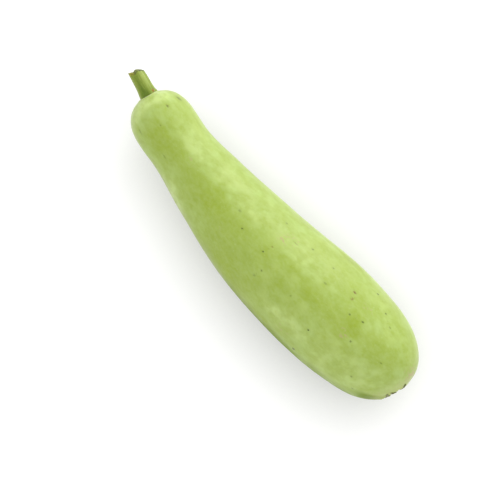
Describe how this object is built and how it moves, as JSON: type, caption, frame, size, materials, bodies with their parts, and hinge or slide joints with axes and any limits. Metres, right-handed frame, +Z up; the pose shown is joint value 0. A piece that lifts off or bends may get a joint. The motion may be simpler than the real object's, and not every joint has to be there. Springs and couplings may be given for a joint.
{
  "type": "bottle gourd",
  "caption": "Young bottle gourd lying on its belly: a pale green club-shaped fruit with a ribbed cut stem and a dried blossom scar.",
  "frame": {"origin": "middle of the gourd's footprint box, on the plane that it rests on", "axes": "+X along the gourd from the stem end to the blossom end, +Y level and across it, on the side that the neck and the blossom end bend towards, +Z up"},
  "size_m": [0.322, 0.0858, 0.084],
  "materials": {
    "rind": "smooth waxy green rind, satin, with soft pale mottling and fine darker specks",
    "stem": "olive green ribbed stalk, matte, fibrous, yellow-brown where it is torn",
    "dried_flower": "dry brown papery tissue, folded in ridges"
  },
  "bodies": {
    "root": {"fruit": "rind", "stem": "stem", "blossom_remnant": "dried_flower"}
  },
  "joints": []
}
